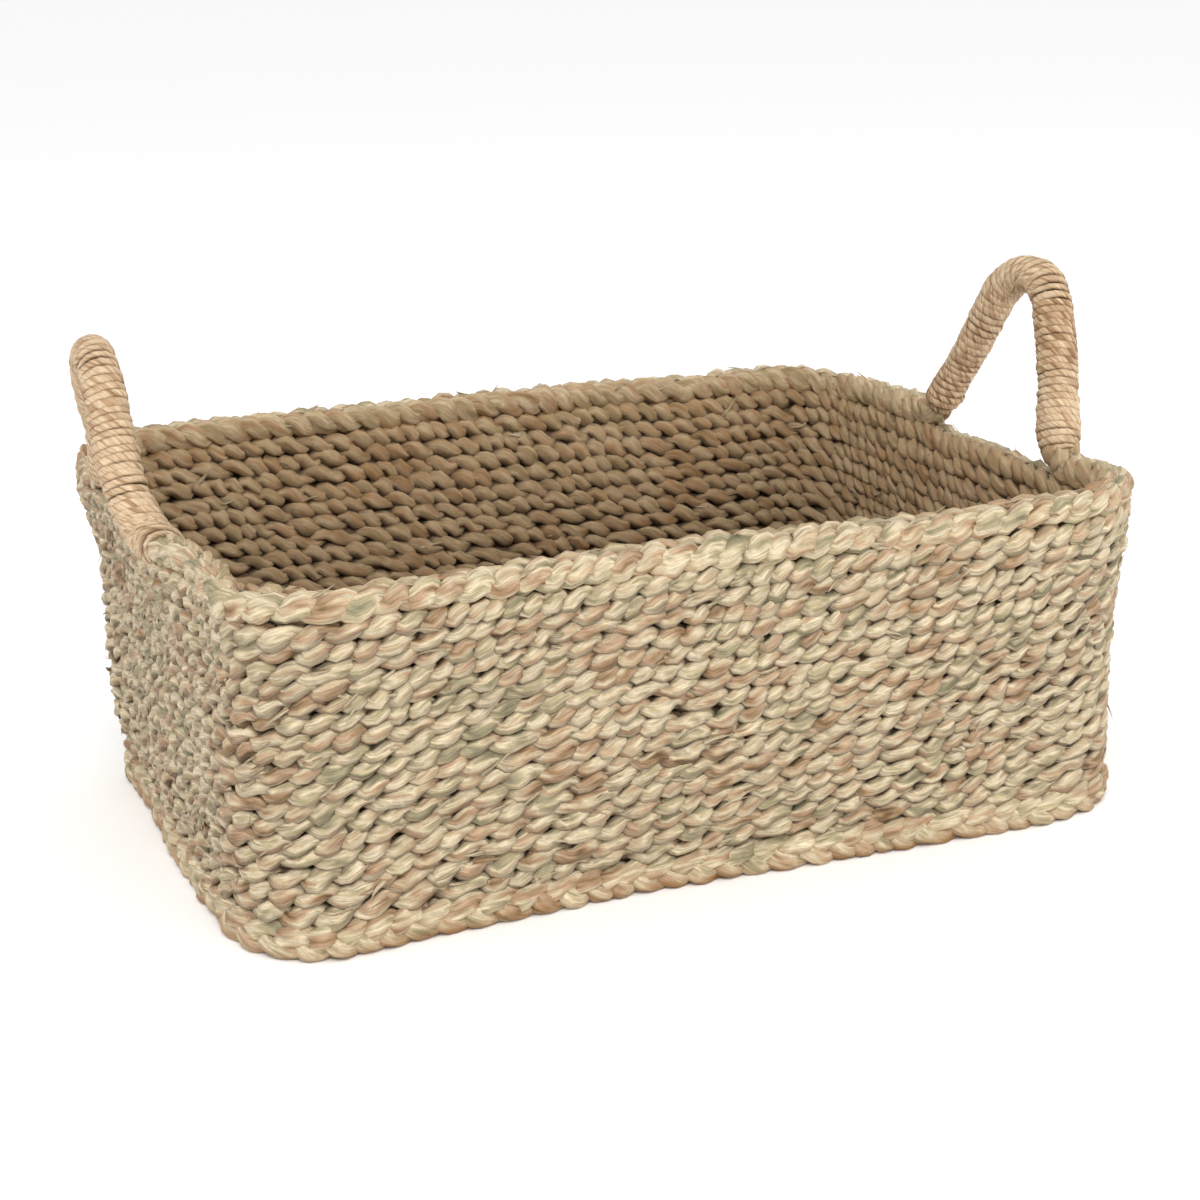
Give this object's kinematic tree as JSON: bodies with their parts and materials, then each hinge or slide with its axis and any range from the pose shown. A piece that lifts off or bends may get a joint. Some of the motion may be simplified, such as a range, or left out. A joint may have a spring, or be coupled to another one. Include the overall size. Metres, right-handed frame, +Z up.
{
  "type": "storage basket",
  "caption": "Open rectangular storage basket of coiled seagrass plait, with flared walls, a rope rim and a cord-wrapped rope handle standing at each end.",
  "frame": {"origin": "middle of the underside, on the floor", "axes": "+X along the long side towards the right-hand handle, +Y towards the back wall, +Z up"},
  "size_m": [0.431, 0.3184, 0.2266],
  "materials": {
    "seagrass_wall": "matte, dried seagrass plait, straw with greenish and pinkish strands",
    "seagrass_base": "matte, dried seagrass plait",
    "seagrass_edge": "matte, dried seagrass plait, browned at the floor",
    "seagrass_rope": "matte, dried seagrass rope",
    "wrapping_cord": "matte, light tan natural cord, tightly wound"
  },
  "bodies": {
    "basket": {"base_edge_course": "seagrass_edge", "base_course_01": "seagrass_base", "base_course_02": "seagrass_base", "base_course_03": "seagrass_base", "base_course_04": "seagrass_base", "base_course_05": "seagrass_base", "base_course_06": "seagrass_base", "base_course_07": "seagrass_base", "base_course_08": "seagrass_base", "base_course_09": "seagrass_base", "base_course_10": "seagrass_base", "base_course_11": "seagrass_base", "base_course_12": "seagrass_base", "base_course_13": "seagrass_base", "base_course_14": "seagrass_base", "base_course_15": "seagrass_base", "base_centre_strip": "seagrass_base", "wall_course_01": "seagrass_wall", "wall_course_02": "seagrass_wall", "wall_course_03": "seagrass_wall", "wall_course_04": "seagrass_wall", "wall_course_05": "seagrass_wall", "wall_course_06": "seagrass_wall", "wall_course_07": "seagrass_wall", "wall_course_08": "seagrass_wall", "wall_course_09": "seagrass_wall", "wall_course_10": "seagrass_wall", "wall_course_11": "seagrass_wall", "wall_course_12": "seagrass_wall", "wall_course_13": "seagrass_wall", "wall_course_14": "seagrass_wall", "wall_course_15": "seagrass_wall", "wall_course_16": "seagrass_wall", "wall_course_17": "seagrass_wall", "rim_rope_front": "seagrass_rope", "rim_rope_back": "seagrass_rope"},
    "handle_right": {"handle_core_right": "seagrass_rope", "handle_wrap_right": "wrapping_cord"},
    "handle_left": {"handle_core_left": "seagrass_rope", "handle_wrap_left": "wrapping_cord"}
  },
  "joints": [
    {"name": "handle_right_bend", "type": "hinge", "parent": "basket", "child": "handle_right", "pos_m": [0.1936, -0.0275, 0.1562], "axis": [0, 1, 0], "range_deg": [-25, 25], "stiffness_Nm_per_rad": 0.55},
    {"name": "handle_left_bend", "type": "hinge", "parent": "basket", "child": "handle_left", "pos_m": [-0.1936, 0.0275, 0.1562], "axis": [0, -1, 0], "range_deg": [-25, 25], "stiffness_Nm_per_rad": 0.55}
  ]
}
